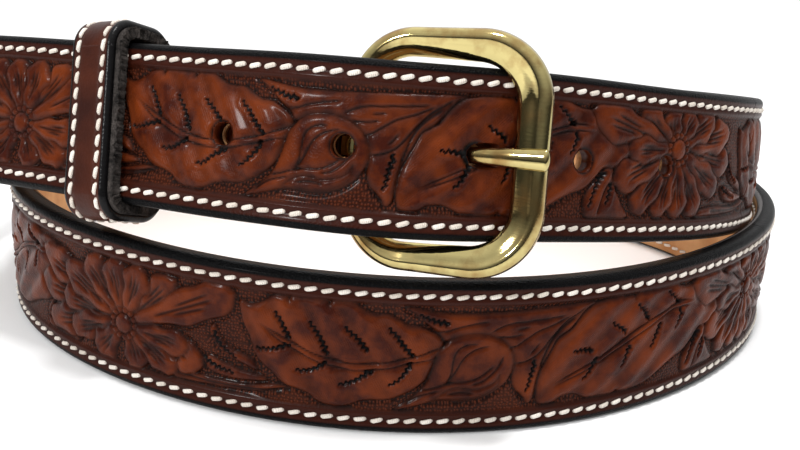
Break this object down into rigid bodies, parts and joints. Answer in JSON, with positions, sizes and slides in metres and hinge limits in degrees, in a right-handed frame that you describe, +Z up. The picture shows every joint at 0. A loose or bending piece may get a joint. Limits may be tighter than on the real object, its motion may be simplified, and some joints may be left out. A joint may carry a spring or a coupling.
{
  "type": "tooled leather belt",
  "caption": "Lined leather belt with floral tooled face, stitched edges, keeper loop and heel bar buckle, buckled and standing on its edge in two turns.",
  "frame": {"origin": "on the floor, under the middle of the belt's box", "axes": "+X to the right along the longer way of the turns, +Y away from the front, +Z up along the belt's width"},
  "size_m": [0.2188, 0.157, 0.0801],
  "materials": {
    "tooled_leather": "waxed, with burnished dark edges",
    "lining_leather": "natural, matt",
    "keeper_leather": "waxed, with dark edges",
    "brass": "polished, a little tarnished"
  },
  "bodies": {
    "root": {"strap": "tooled_leather", "lining": "lining_leather", "keeper": "keeper_leather", "buckle_frame": "brass", "buckle_prong": "brass", "chape_post_1": "brass", "chape_post_2": "brass"}
  },
  "joints": []
}
